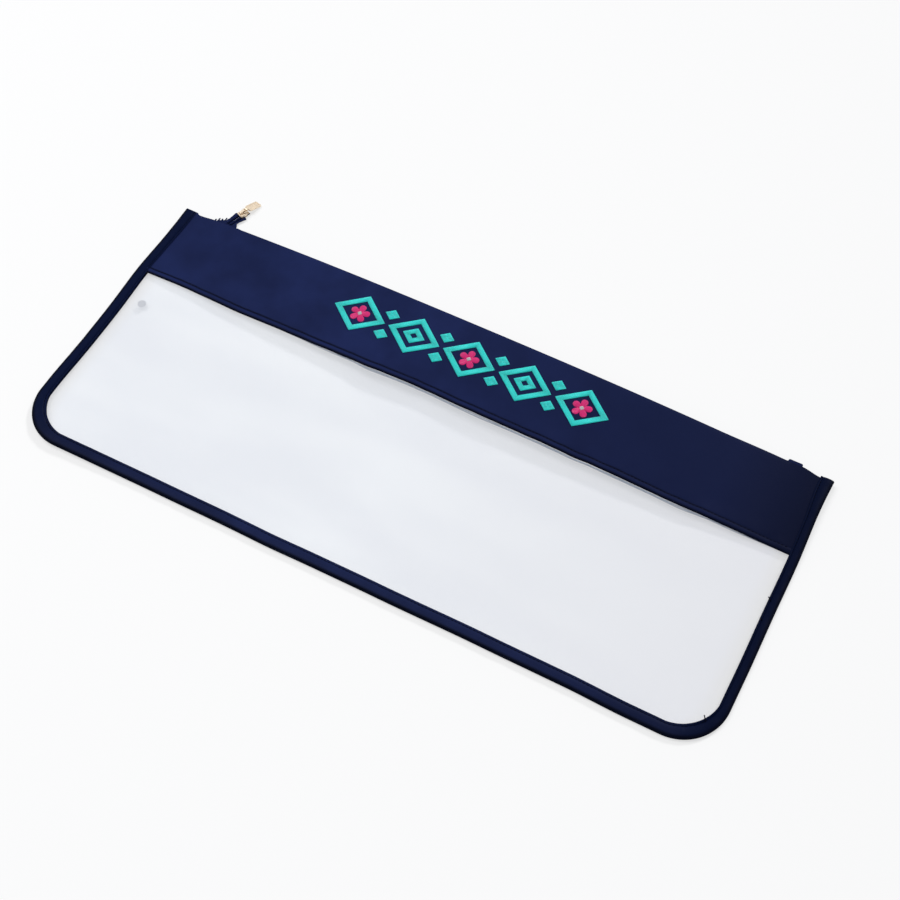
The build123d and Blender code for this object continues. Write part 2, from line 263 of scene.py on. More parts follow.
def thicken(obj, thickness, offset=0.0):
    """Gives a sheet its thickness in millimetres, and rounds its shading."""
    apply_modifier(obj, "SOLIDIFY", thickness=thickness * MM, offset=offset)
    bpy.ops.object.shade_smooth_by_angle(angle=math.radians(50))


def new_curve(name, kind, points):
    """A curve of one spline through the points."""
    curve = bpy.data.curves.new(name, "CURVE")
    curve.dimensions = "3D"
    spline = curve.splines.new(kind)
    spline.points.add(len(points) - 1)
    for point, place in zip(spline.points, points):
        point.co = (*place, 1)
    obj = bpy.data.objects.new(name, curve)
    bpy.context.collection.objects.link(obj)
    return obj


def row_along(name, item, pitch, points):
    """Repeats one item along a line through the points."""
    line = new_curve(name + "_line", "POLY", points)
    line.data.twist_mode = "Z_UP"
    run = sum((b - a).length for a, b in zip(points, points[1:]))
    count = int(run / (pitch * MM))
    item.name = item.data.name = name
    apply_modifier(
        item,
        "ARRAY",
        count=count,
        use_relative_offset=False,
        use_constant_offset=True,
        constant_offset_displace=(pitch * MM, 0, 0),
    )
    apply_modifier(item, "CURVE", object=line, deform_axis="POS_X")
    bpy.data.objects.remove(line, do_unlink=True)
    return item


def stitch(length, radius):
    """One stitch lying along X, from the origin."""
    deselect()
    bpy.ops.mesh.primitive_uv_sphere_add(segments=6, ring_count=5, radius=1.0)
    obj = bpy.context.object
    half = length / 2
    for vertex in obj.data.vertices:
        x, y, z = vertex.co
        vertex.co = Vector((half + z * half, y * radius, x * radius * 0.8)) * MM
    in_edit_mode(obj, lambda: bpy.ops.mesh.normals_make_consistent(inside=False))
    obj.data.shade_smooth()
    return obj


def stitch_row(name, points, radius):
    """A row of stitches along a line, each three quarters as long as the pitch."""
    pitch = settings().stitch_pitch / MM
    row = row_along(name, stitch(0.75 * pitch, radius), pitch, points)
    finish_piece(row, "bag", "thread_navy")


def tube(name, points, radius, roundness=1):
    """A round strand through the points, as a closed mesh."""
    obj = new_curve(name, "NURBS", points)
    obj.data.bevel_depth = radius * MM
    obj.data.bevel_resolution = roundness
    obj.data.use_fill_caps = True
    spline = obj.data.splines[0]
    spline.order_u = 4
    spline.use_endpoint_u = True
    spline.resolution_u = 4
    select_only(obj)
    bpy.ops.object.convert(target="MESH")
    obj = bpy.context.object
    obj.data.shade_smooth()
    return obj


# Materials

MATERIALS = {}

# Metres from crest to crest of a wave texture at a scale of 1
WAVE_LENGTH = 0.314

# Colours that aren't among the settings
WHITE_THREAD = (0.82, 0.80, 0.82)
NAVY_THREAD = (0.0022, 0.0032, 0.012)
# Grey of the rolled edge's ridges: painted shade on a fold of clear sheet
ROLLED_VINYL_SHADE = (0.40, 0.45, 0.54)
VENT_MARK = (0.55, 0.57, 0.72)


def new_material(name, colour, roughness, **sockets):
    """A material and its shader, with the sockets that are named set to their values."""
    material = bpy.data.materials.new(name)
    material.use_nodes = True
    shader = material.node_tree.nodes["Principled BSDF"]
    shader.inputs["Base Color"].default_value = (*colour, 1)
    shader.inputs["Roughness"].default_value = roughness
    for socket, value in sockets.items():
        shader.inputs[socket.replace("_", " ")].default_value = value
    MATERIALS[name] = material
    return material, shader


def add_node(material, kind, values=(), **attributes):
    """A new node, with these values in its sockets and these attributes."""
    node = material.node_tree.nodes.new(kind)
    for key, value in attributes.items():
        setattr(node, key, value)
    for key, value in dict(values).items():
        node.inputs[key].default_value = value
    return node


def link(material, a, b):
    material.node_tree.links.new(a, b)


def coordinates(material, source):
    return add_node(material, "ShaderNodeTexCoord").outputs[source]


def thread_rows(material, place, pitch, direction, **values):
    """Rows of threads across a direction, at a pitch in millimetres."""
    values = {key.replace("_", " "): value for key, value in values.items()}
    values["Scale"] = WAVE_LENGTH / (pitch * MM)
    wave = add_node(material, "ShaderNodeTexWave", values, bands_direction=direction)
    link(material, place, wave.inputs["Vector"])
    return wave.outputs["Fac"]


def weave_height(material, place, pitch):
    """Height of a plain weave, whose threads run in two directions."""
    both = [thread_rows(material, place, pitch, direction, Distortion=0.0) for direction in "XY"]
    product = add_node(material, "ShaderNodeMath", operation="MULTIPLY")
    for rows, socket in zip(both, product.inputs):
        link(material, rows, socket)
    return product.outputs[0]


def slow_noise(material, place, scale, detail=2.0):
    node = add_node(material, "ShaderNodeTexNoise", {"Scale": scale, "Detail": detail})
    link(material, place, node.inputs["Vector"])
    return node.outputs["Fac"]


def bump(material, shader, height, distance, strength=1.0, under=None):
    """Raises the surface by up to a distance in millimetres, over another bump if one is given."""
    node = add_node(material, "ShaderNodeBump", {"Strength": strength, "Distance": distance * MM})
    link(material, height, node.inputs["Height"])
    if under is not None:
        link(material, under, node.inputs["Normal"])
    link(material, node.outputs["Normal"], shader.inputs["Normal"])
    return node.outputs["Normal"]


def vary(material, shader, factor, low, high, low_at=0.35, high_at=0.65, socket="Base Color"):
    """Runs a socket between two colours as a factor goes from low_at to high_at."""
    ramp = add_node(material, "ShaderNodeValToRGB")
    ramp.color_ramp.elements[0].position = low_at
    ramp.color_ramp.elements[1].position = high_at
    ramp.color_ramp.elements[0].color = (*low, 1)
    ramp.color_ramp.elements[1].color = (*high, 1)
    link(material, factor, ramp.inputs["Fac"])
    link(material, ramp.outputs["Color"], shader.inputs[socket])


def distance_along(material, source, axis, middle=None):
    """A coordinate in metres, or how far it is either way from a middle given in millimetres."""
    split = add_node(material, "ShaderNodeSeparateXYZ")
    link(material, coordinates(material, source), split.inputs[0])
    if middle is None:
        return split.outputs[axis]
    from_middle = add_node(material, "ShaderNodeMath", {1: middle * MM}, operation="SUBTRACT")
    link(material, split.outputs[axis], from_middle.inputs[0])
    size = add_node(material, "ShaderNodeMath", operation="ABSOLUTE")
    link(material, from_middle.outputs[0], size.inputs[0])
    return size.outputs[0]


def paint_shade(material, shader, value, low, high, colour):
    """Paints shade: turns the base colour to another as a value goes from low to high, in millimetres."""
    share = add_node(material, "ShaderNodeMapRange", {"From Min": low * MM, "From Max": high * MM})
    link(material, value, share.inputs["Value"])
    mix = add_node(material, "ShaderNodeMix", data_type="RGBA")
    mix.inputs["B"].default_value = (*colour, 1)
    colour_so_far = shader.inputs["Base Color"].links[0].from_socket
    link(material, share.outputs["Result"], mix.inputs["Factor"])
    link(material, colour_so_far, mix.inputs["A"])
    link(material, mix.outputs["Result"], shader.inputs["Base Color"])


def shade(colour, share):
    return tuple(c * share for c in colour)


def cloth_material(name, colour, roughness, pitch, source="Object"):
    """Closely woven cloth with a faint unevenness of dye and lie."""
    material, shader = new_material(name, colour, roughness, Specular_IOR_Level=0.03)
    place = coordinates(material, source)
    vary(material, shader, slow_noise(material, place, 26.0, 4.0), shade(colour, 0.84), shade(colour, 1.16))
    uneven = bump(material, shader, slow_noise(material, place, 90.0), 0.35, 0.35)
    bump(material, shader, weave_height(material, place, pitch), 0.05, 0.5, uneven)
    return material, shader


def thread_material(name, colour, pitch, sheen=0.25, gloss=0.4):
    """Satin-stitched thread, whose strands lie across the stitched shape."""
    material, shader = new_material(name, colour, 0.36, Specular_IOR_Level=gloss,
                                    Sheen_Weight=sheen, Sheen_Roughness=0.35)
    rows = thread_rows(material, coordinates(material, "UV"), pitch, "X",
                       Distortion=1.2, Detail=1.0, Detail_Scale=0.6)
    # Painted shade in the troughs between the strands
    vary(material, shader, rows, shade(colour, 0.66), colour, 0.05, 0.45)
    bump(material, shader, rows, 0.2, 0.9)


def vinyl_material(name, colour, alpha):
    """Clear soft sheet, faintly milky, with a slack surface that breaks up what it reflects, and painted
    reflections and shade in its tint.
    """
    material, shader = new_material(name, colour, 0.3, Specular_IOR_Level=0.25, Alpha=alpha)
    place = coordinates(material, "Object")
    stretch = add_node(material, "ShaderNodeMapping", {"Scale": (0.45, 1.6, 1.0), "Rotation": (0, 0, 0.2)})
    link(material, place, stretch.inputs["Vector"])
    slack = slow_noise(material, stretch.outputs["Vector"], 12.0, 3.0)
    # The slack's streaks also run the tint between darker and paler: painted soft reflections and shade of
    # its ripples
    vary(material, shader, slack, shade(colour, 0.75), (0.6, 0.76, 1.0), 0.38, 0.62)
    # Painted shade: duller towards the right, and darker beside the binding
    paint_shade(material, shader, distance_along(material, "Object", "X"), -20, 330, (0.04, 0.10, 0.36))
    paint_shade(material, shader, distance_along(material, "UV", "X", 0), 270, 282, (0.02, 0.03, 0.08))
    bump(material, shader, slack, 1.2, 0.5)


def metal_material(name, colour, roughness):
    """Plated metal, rubbed a little unevenly."""
    material, shader = new_material(name, colour, roughness, Metallic=1.0)
    place = coordinates(material, "Object")
    rubbed = slow_noise(material, place, 900.0, 3.0)
    white = (1, 1, 1)
    vary(material, shader, rubbed, shade(white, roughness * 0.88), shade(white, roughness * 1.12),
         socket="Roughness")
    bump(material, shader, rubbed, 0.008, 0.3)


def nylon_material(name, colour):
    """Smooth moulded strand of a coil zip."""
    material, shader = new_material(name, colour, 0.5, Specular_IOR_Level=0.05)
    uneven = slow_noise(material, coordinates(material, "Object"), 1500.0)
    bump(material, shader, uneven, 0.03, 0.4)


def film_material(name, colour, roughness, alpha, grain):
    """Thin see-through vinyl, with a grain in its surface."""
    material, shader = new_material(name, colour, roughness, Alpha=alpha)
    bump(material, shader, slow_noise(material, coordinates(material, "Object"), grain), 0.1)


# Settings


class TileBagSettings(bpy.types.PropertyGroup):
    """Sizes and colours of the bag's dressing"""

    band_colour: bpy.props.FloatVectorProperty(
        name="Band cloth", description="Colour of the cloth bands", subtype="COLOR", size=3,
        min=0, max=1, default=(0.0098, 0.0166, 0.0690))
    binding_colour: bpy.props.FloatVectorProperty(
        name="Binding", description="Colour of the binding tape", subtype="COLOR", size=3,
        min=0, max=1, default=(0.0092, 0.0150, 0.0565))
    zip_colour: bpy.props.FloatVectorProperty(
        name="Zip", description="Colour of the zip's tapes and coils", subtype="COLOR", size=3,
        min=0, max=1, default=(0.0085, 0.0138, 0.057))
    vinyl_colour: bpy.props.FloatVectorProperty(
        name="Vinyl", description="Tint of the clear sheets", subtype="COLOR", size=3,
        min=0, max=1, default=(0.36, 0.58, 1.0))
    vinyl_milk: bpy.props.FloatProperty(
        name="Milkiness", description="How much of the light a clear sheet stops",
        min=0, max=1, default=0.041)
    aqua: bpy.props.FloatVectorProperty(
        name="Aqua thread", description="Main colour of the ornament", subtype="COLOR", size=3,
        min=0, max=1, default=(0.03, 1.0, 0.92))
    pink: bpy.props.FloatVectorProperty(
        name="Pink thread", description="Second colour of the ornament", subtype="COLOR", size=3,
        min=0, max=1, default=(0.92, 0.014, 0.22))
    gold: bpy.props.FloatVectorProperty(
        name="Metal", description="Colour of the slider and its pull", subtype="COLOR", size=3,
        min=0, max=1, default=(0.83, 0.70, 0.54))
    ornament_height: bpy.props.FloatProperty(
        name="Ornament height", description="Height of the ornament's lozenges", unit="LENGTH",
        min=0.01, max=0.06, default=0.037)
    stitch_pitch: bpy.props.FloatProperty(
        name="Stitch pitch", description="From one stitch to the next", unit="LENGTH",
        min=0.001, max=0.01, default=0.003)


def settings():
    return bpy.context.scene.tile_bag


class TILEBAG_OT_materials(bpy.types.Operator):
    """Make the bag's vinyl, cloth, thread and metal"""

    bl_idname = "tilebag.materials"
    bl_label = "Materials"

    def execute(self, context):
        s = settings()
        vinyl_material("clear_vinyl", tuple(s.vinyl_colour), s.vinyl_milk)
        self.band(tuple(s.band_colour))
        self.binding(tuple(s.binding_colour))
        cloth_material("zip_tape_cloth", tuple(s.zip_colour), roughness=0.7, pitch=0.6)
        for name, colour in (("aqua", tuple(s.aqua)), ("pink", tuple(s.pink)), ("white", WHITE_THREAD)):
            thread_material(f"thread_{name}", colour, pitch=0.42)
        thread_material("thread_navy", NAVY_THREAD, pitch=0.3, sheen=0.0, gloss=0.03)
        metal_material("gold_plate", tuple(s.gold), roughness=0.5)
        # The coil is the zip's colour made half as bright again: painted light against the shade between
        # its turns
        nylon_material("coil_nylon", shade(tuple(s.zip_colour), 1.5))
        film_material("rolled_vinyl", ROLLED_VINYL_SHADE, roughness=0.3, alpha=0.7, grain=300.0)
        film_material("vent_mark", VENT_MARK, roughness=0.5, alpha=0.06, grain=600.0)
        return {"FINISHED"}

    def band(self, colour):
        """The bands' cloth, with painted shade: darker to the right, and in its rolled lower edge and its
        sewn groove.
        """
        cloth, shader = cloth_material("band_cloth", colour, roughness=0.5, pitch=0.5)
        # Painted shade where the light falls off towards the right end
        paint_shade(cloth, shader, distance_along(cloth, "Object", "X"), -60, 200, shade(colour, 0.66))
        paint_shade(cloth, shader, distance_along(cloth, "Object", "X"), 215, 285, shade(colour, 0.3))
        # Painted shade in the rolled lower edge, and in the groove of the hem's stitches
        paint_shade(cloth, shader, distance_along(cloth, "UV", "Y"), 2.0, 0.9, shade(colour, 0.22))
        paint_shade(cloth, shader, distance_along(cloth, "UV", "Y", HEM_STITCHES), 1.5, 0.5, shade(colour, 0.35))

    def binding(self, colour):
        """The binding's cloth, with painted shade: darker towards the sides, most at the right, and along
        its fold.
        """
        cloth, shader = cloth_material("binding_cloth", colour, roughness=0.46, pitch=0.45, source="UV")
        # Painted shade on the side tapes, darkest at the right end
        sides = tuple(c * share for c, share in zip(colour, (0.2, 0.36, 0.5)))
        paint_shade(cloth, shader, distance_along(cloth, "Object", "X", 0), 110, 310, shade(colour, 0.5))
        paint_shade(cloth, shader, distance_along(cloth, "Object", "X", 0), 262, 284, sides)
        paint_shade(cloth, shader, distance_along(cloth, "Object", "X"), 262, 284, shade(sides, 0.72))
        # Painted shade along the tape's rounded fold
        paint_shade(cloth, shader, distance_along(cloth, "UV", "Y", 9.4), 3.0, 1.2, shade(colour, 0.2))


# Vinyl


def edge_drift(x):
    """How far up the bag the front band's lower edge lies at x, from its straight line."""
    waves = 1.3 * hump(x, -26, 31) - 0.6 * hump(x, -74, 9) - 0.6 * hump(x, 104, 9) - 0.6 * hump(x, 187, 32)
    return 2.1 * smooth(-190, -250, x) + waves - 0.45


def edge_gap(x):
    """How far the front sheet sags from under the band's lower edge."""
    return 0.6 + 0.7 * abs(drift(x * 0.013, 2.0, 0.0)) * smooth(270, 200, abs(x))


def window(name, side, node):
    """One clear sheet, from the bottom seam to behind its band."""
    low = FOOT_Y + CLOTH
    edge = BAND_EDGE if side > 0 else BACK_EDGE
    along = [low + (CORNER - CLOTH) * (1 - math.cos(math.radians(90 * i / 14))) for i in range(14)]
    along += spread(low + CORNER - CLOTH, edge - 3, 34) + spread(edge - 2, edge + 1, 3)
    along += spread(edge + 3, edge + OVERLAP, 2)
    across = [math.sin(math.radians(90 * i / 46)) for i in range(-46, 47)]

    def place(a, y):
        x = a * outline_half(y, CLOTH)
        under = CLOTH * smooth(edge - 2, edge, y)
        if side > 0:
            y += edge_drift(x) * smooth(edge - 30, edge - 2, y)
            gap = edge_gap(x) * smooth(edge - 12, edge, y) * smooth(edge + 9, edge + 4, y)
            z = front(x, y) - under - gap - VINYL / 2 - 0.02
        else:
            z = back(x, y) + under + VINYL / 2 + 0.02
        return mm(x, y, z)

    obj = grid_piece(name, across, along, place, cell=(HALF_WIDTH, 1.0), merge=True)
    thicken(obj, VINYL)
    finish_piece(obj, "bag", "clear_vinyl", [node])


class TILEBAG_OT_windows(bpy.types.Operator):
    """Lay the two clear sheets"""

    bl_idname = "tilebag.windows"
    bl_label = "Windows"

    def execute(self, context):
        window("window_front_sheet", 1, "front_window")
        window("window_back_sheet", -1, "back_window")
        return {"FINISHED"}


# Bands


def lip(x):
    """Y of the band's folded top edge, which dips beside the binding."""
    dip = 1.6 * smooth(-262, -277, x) * smooth(-280.5, -278.5, x) + 3.0 * smooth(264, 282, x)
    return LIP_Y + 1.0 * smooth(195, 248, x) - dip


def band(name, side, node, hem_from, hem_to):
    """A cloth band, with its top edge turned in over the zip tape between the zip's ends."""
    radius = (CLOTH + TAPE) / 2
    low = BAND_EDGE if side > 0 else BACK_EDGE
    depth = LIP_Y - low
    hem_lines = (0, 0.25, 0.6, 1.1, 1.8, 2.8, 3.8, 4.4, 5, 5.6, 6.4, 8)
    leaf = [up / depth for up in hem_lines] + spread(0.14, 1, 19)
    turn = spread(1, 2, 8)[1:]
    tuck = spread(2, 3, 4)[1:]
    across = spread(-HALF_WIDTH + CLOTH, hem_from - 2, 45)[:-1] + spread(hem_from - 2, hem_from + 3, 4)[:-1]
    across += spread(hem_from + 3, hem_to - 3, 120)[:-1] + spread(hem_to - 3, hem_to + 2, 4)[:-1]
    across += spread(hem_to + 2, HALF_WIDTH - CLOTH, 24)

    def face(x, y):
        return front(x, y) - CLOTH / 2 if side > 0 else back(x, 0) + CLOTH / 2

    def place(x, t):
        edge = lip(x) - CLOTH / 2 - radius
        turned = smooth(hem_from - 2, hem_from + 2, x) * smooth(hem_to + 2, hem_to - 2, x)
        if t <= 1:
            foot = low + (edge_drift(x) if side > 0 else 0)
            y = foot + (edge - foot) * t + (1 - turned) * radius * t**6
            hem = hem_relief(x, y) if side > 0 else 0
            return mm(x, y, face(x, y) + hem)
        start = edge + (1 - turned) * radius
        angle = math.pi * min(1.0, t - 1) * turned
        y = start + radius * math.sin(angle)
        z = face(x, edge) - side * radius * (1 - math.cos(angle))
        if t > 2:
            y -= 7.1 * (t - 2) * turned
            drop = face(x, edge) - face(x, y) if side > 0 else 0
            z -= drop
        return mm(x, y, z)

    obj = grid_piece(name, across, leaf + turn + tuck, place, cell=(1.0, depth), merge=True)
    thicken(obj, CLOTH)
    finish_piece(obj, "bag", "band_cloth", [node])


def rolled_edge(name, out, seed, ends):
    """One ridge of the front sheet's rolled edge, which comes out from under the band; its grey is painted
    shade on the clear fold.
    """
    points = []
    for x in spread(*ends, 90):
        shown = smooth(ends[0], ends[0] + 45, x) * smooth(ends[1], ends[1] - 50, x)
        below = out * shown * (1 + 0.35 * drift(x * 0.022, seed, 0.0))
        y = BAND_EDGE + edge_drift(x) + 0.5 - below
        points.append(mm(x, y, front(x, y) - CLOTH - 0.62 * smooth(3.0, 0.5, below)))
    finish_piece(tube(name, points, 0.45, roundness=2), "bag", "rolled_vinyl")


class TILEBAG_OT_bands(bpy.types.Operator):
    """Fold the two cloth bands"""

    bl_idname = "tilebag.bands"
    bl_label = "Cloth bands"

    def execute(self, context):
        band("band_front_cloth", 1, "front_band", ZIP_LEFT, ZIP_RIGHT)
        band("band_back_cloth", -1, "back_band", ZIP_LEFT, ZIP_RIGHT)
        points = []
        for x in spread(-STITCHES_END, STITCHES_END, 200):
            y = BAND_EDGE + edge_drift(x) + HEM_STITCHES
            points.append(mm(x, y, front(x, y) + hem_relief(x, y) + 0.04))
        stitch_row("band_front_stitches", points, radius=0.42)
        rolled_edge("window_rolled_edge_1", out=1.4, seed=9.0, ends=(-150, 276))
        rolled_edge("window_rolled_edge_2", out=2.5, seed=5.0, ends=(-110, 240))
        y = BACK_EDGE + HEM_STITCHES
        points = [mm(x, y, back(x, 0) - 0.02) for x in spread(-STITCHES_END, STITCHES_END, 60)]
        stitch_row("band_back_stitches", points, radius=0.12)
        return {"FINISHED"}


# Binding

# The folded tape's section, from its front edge round the bag's edge to its back one: (inward, height)
FOLD = [
    (9.45, 2.86), (9.0, 3.06), (8.4, 3.0), (7.8, 2.58), (7.2, 2.95), (6.2, 3.22), (4.8, 3.32), (3.4, 3.24),
    (2.2, 3.06), (1.2, 2.72), (0.6, 2.25), (0.36, 1.65), (0.5, 1.05), (1.1, 0.58), (2.2, 0.34), (4.0, 0.31),
    (6.5, 0.31), (9.45, 0.31),
]


def edge_line():
    """The bag's outer edge from the left mouth end round to the right one: (x, y, inward x, inward y)."""
    top = LIP_Y - 1.0
    bend = FOOT_Y + CORNER
    side = HALF_WIDTH
    turns = [(math.cos(a), math.sin(a)) for a in [math.radians(90 * i / 24) for i in range(1, 25)]]
    line = [(-side, y, 1.0, 0.0) for y in spread(top, bend, 70)]
    line += [(-side + CORNER - CORNER * c, bend - CORNER * s, c, s) for c, s in turns]
    line += [(x, FOOT_Y, 0.0, 1.0) for x in spread(-side + CORNER, side - CORNER, 150)[1:]]
    line += [(side - CORNER + CORNER * s, bend - CORNER * c, -s, c) for c, s in turns]
    line += [(side, y, -1.0, 0.0) for y in spread(bend, top, 70)[1:]]
    return line


def line_lengths(line):
    """How far each point of a line is from its start, along it."""
    total = [0.0]
    for a, b in zip(line, line[1:]):
        total.append(total[-1] + math.hypot(b[0] - a[0], b[1] - a[1]))
    return total


def on_edge(station, inward, z):
    """A point of the binding, which is wider along the bottom, in the corners and at the mouth."""
    x, y, nx, ny = station
    flare = (2.4 if x > 0 else 0.9) * smooth(80, 120, y)
    extra = 1.1 * ny + 3.0 * abs(nx * ny) - 0.9 * max(0.0, -nx) + flare
    inward += extra * smooth(2.0, 9.0, inward)
    return mm(x + nx * inward, y + ny * inward, z)


class TILEBAG_OT_binding(bpy.types.Operator):
    """Fold the binding tape round the bag's edge and sew it"""

    bl_idname = "tilebag.binding"
    bl_label = "Binding"

    def execute(self, context):
        line = edge_line()
        run = line_lengths(line)
        profile = line_lengths(FOLD)
        by_run = dict(zip(run, line))
        by_profile = dict(zip(profile, FOLD))

        def place(u, v):
            inward, z = by_profile[v]
            x, y, nx, ny = by_run[u]
            in_corner = abs(nx * ny) * 2
            pucker = drift(u * 0.16, inward * 0.1, 1.7) * (0.22 + 0.25 * in_corner)
            pucker *= smooth(1.5, 2.8, z) * smooth(9.6, 7.5, inward) + 0.35 * smooth(1.5, 2.8, z)
            inward += 0.25 * drift(u * 0.02, 5.0, 0.0)
            return on_edge((x, y, nx, ny), inward, z + pucker)

        obj = grid_piece("binding_fold", run, profile, place)
        thicken(obj, CLOTH)
        finish_piece(obj, "bag", "binding_cloth", ["edge_binding"])
        top = [on_edge(station, BINDING_STITCHES, 2.94) for station in line]
        under = [on_edge(station, BINDING_STITCHES, 0.1) for station in line]
        stitch_row("binding_front_stitches", top, radius=0.34)
        stitch_row("binding_back_stitches", under, radius=0.16)
        return {"FINISHED"}


# Zip in the mouth


def tape_middle(x, y):
    """Height of the front zip tape's middle, under its band."""
    return front(x, y) - CLOTH - TAPE / 2 - 0.03


def tape_end(x):
    """Y of the turned-up end of both tapes, with its corners rounded."""
    share = max(0.0, min(1.0, (x - ZIP_RIGHT) / 1.4, (ZIP_RIGHT + 12 - x) / 1.4))
    return LIP_Y + 2.0 + 1.4 * math.sqrt(share * (2 - share))


def coil_turn(sign):
    """One turn of the coil, from its spine to its head and back, and on to the next turn."""
    places = [(0.0, 0.75, 0.35), (0.0, -0.5, 0.3), (0.0, -0.68, 0.8), (0.1, -0.5, 1.3), (0.4, 0.75, 1.25),
              (COIL_PITCH, 0.75, 0.35)]
    return tube("turn", [Vector((x, y, sign * z)) * MM for x, y, z in places], 0.26)


def sewn_zip(side):
    """One tape of the zip in its hem, and the row of coil on its free edge."""
    word = "front" if side > 0 else "back"
    high = LIP_Y - 1.0 - (0 if side > 0 else 2.2)
    low = high - 12.1
    turned_up = (0, 0.2, 0.5, 0.9, 1.4, 3.5, 6, 8.5, 10.6, 11.1, 11.5, 11.8, 12)
    across = spread(-262, ZIP_LEFT, 8) + spread(ZIP_LEFT + 1, ZIP_RIGHT - 0.05, 90)
    across += [ZIP_RIGHT + past for past in turned_up]

    def place(x, t):
        top = high
        if x >= ZIP_RIGHT:
            top = tape_end(x)
        elif x <= ZIP_LEFT:
            top = LIP_Y
        y = low + (top - low) * t
        if side < 0:
            return mm(x, y, CLOTH + TAPE / 2 + 0.02)
        z = tape_middle(x, min(y, LIP_Y))
        lead = smooth(ZIP_LEFT + 4, ZIP_LEFT - 4, x) * smooth(0.35, 1.0, t)
        return mm(x, y, z + (1.86 - z) * lead)

    obj = grid_piece(f"zip_tape_{word}_cloth", across, spread(0, 1, 8), place, cell=(1.0, 12.5))
    thicken(obj, TAPE)
    finish_piece(obj, "bag", "zip_tape_cloth", [f"zipper_tape_{word}"])
    line = []
    y = low + 0.95
    for x in spread(ZIP_LEFT, 246.5, 240):
        z = tape_middle(x, y) - TAPE / 2 if side > 0 else CLOTH + TAPE + 0.02
        line.append(mm(x, y, z))
    row = row_along(f"zip_coil_{word}_turns", coil_turn(-side), COIL_PITCH, line)
    row.data.shade_smooth()
    finish_piece(row, "bag", "coil_nylon", [f"zipper_coil_{word}"])


class TILEBAG_OT_zip(bpy.types.Operator):
    """Sew the zip into the mouth"""

    bl_idname = "tilebag.zip"
    bl_label = "Zip"

    def execute(self, context):
        sewn_zip(1)
        sewn_zip(-1)
        return {"FINISHED"}


# Tail of the zip


def on_tail(w, s, n):
    """A point of the tail, in the bag's frame: w across it, s along it and n out of its face."""
    x = TAIL_X + w * math.cos(TAIL_TURN) + s * math.sin(TAIL_TURN)
    y = TAIL_Y - w * math.sin(TAIL_TURN) + s * math.cos(TAIL_TURN)
    return Vector((x, y, TAIL_Z + n)) * MM


def along_points(points, value):
    """Straight runs through (value, result) points."""
    for (a, p), (b, q) in zip(points, points[1:]):
        if value <= b:
            return p + (q - p) * max(0.0, (value - a) / (b - a))
    return points[-1][1]


# The outer edges of the left and the right half: (along the tail, across it)
TAIL_EDGES = {
    -1: [(-5, -12.5), (-1.5, -11.6), (1.1, -8.4), (4.1, -5.2), (6.2, -4.4), (9.9, -4.8), (13.6, -5.5),
         (14.8, -5.6), (15.4, -5.0), (17.4, -3.0), (23.6, -3.0)],
    1: [(-5, 9.6), (0.5, 9.3), (3.0, 8.6), (5.4, 6.6), (8.0, 4.7), (10.5, 4.5), (14, 5.2), (16.8, 6.1),
        (17.2, 5.4), (18.0, 3.0), (23.6, 3.0)],
}

# The halves meet at the root, part for the slider's post and part again for the stop's web
TAIL_PARTING = [(7.4, 0.04), (8.3, 0.5), (19.4, 0.5), (20.4, 1.25)]


def tail_half(side):
    """Half of the tail's tape, from inside the mouth to the tongue at its tip."""
    word = "left" if side < 0 else "right"
    rng = random.Random(11 + side)
    fray = {}

    def place(t, s):
        edge = along_points(TAIL_EDGES[side], s)
        inner = side * along_points(TAIL_PARTING, s)
        w = inner + (edge - inner) * t
        root = max(0.0, 1 - (s + 5) / 12)
        if t == 1.0 and s < 9:
            w += fray.setdefault(s, rng.uniform(-0.35, 0.35))
        return on_tail(w, s + w * math.tan(TAIL_TURN) * root, 0.06 * math.sin(s * 0.9) * t)

    along = spread(-5, 9, 36) + spread(9.5, 14.5, 8)
    along += [14.8, 15.1, 15.4, 15.9, 16.4, 16.8, 17.2, 17.4, 18.0]
    along += [19.0, 19.4, 19.9, 20.4, 21.5, 22.6, 23.5]
    obj = grid_piece(f"tail_{word}_cloth", spread(0, 1, 8), along, place, cell=(8.0, 1.0))
    thicken(obj, TAPE)
    if side < 0:
        in_edit_mode(obj, lambda: bpy.ops.mesh.normals_make_consistent(inside=False))
    finish_tail(obj, [f"tail_tape_{word}"])


def finish_tail(obj, node_names=()):
    """Dresses a piece of the tail, which folds at the lip, and bakes its place into its mesh."""
    dress(obj, "zip_tape_cloth", node_names)
    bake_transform(obj)


class TILEBAG_OT_tail(bpy.types.Operator):
    """Lay the tail's tape, with its fraying edge"""

    bl_idname = "tilebag.tail"
    bl_label = "Zip tail"

    def execute(self, context):
        tail_half(-1)
        tail_half(1)
        self.frayed_threads()
        return {"FINISHED"}

    def frayed_threads(self):
        """Clumps of three threads along the tail's slanting left edge."""
        rng = random.Random(5)
        strands = []
        for clump, clump_length in enumerate((1.5, 2.1, 1.3, 1.9)):
            for i in range(3):
                x = -264.8 + 2.5 * clump + 0.4 * i
                root = LIP_Y + 0.5 + 0.61 * (x + 265.7)
                length = clump_length + rng.uniform(-0.2, 0.2)
                lean = rng.uniform(-0.3, 0.3)
                points = []
                for share in (-1.0, 0.0, 0.5, 1.0):
                    aside = lean * max(0.0, share) ** 2
                    points.append(Vector((x + aside, root + length * share, 1.7 + 0.3 * share)) * MM)
                strands.append(tube("strand", points, 0.3))
        select_only(*strands)
        bpy.ops.object.join()
        obj = bpy.context.object
        obj.name = obj.data.name = "tail_frayed_threads"
        finish_tail(obj)


# Ornament

# The inner outline of a lozenge that is sewn nearly to its middle
FILLED = (0.05, 0.05)


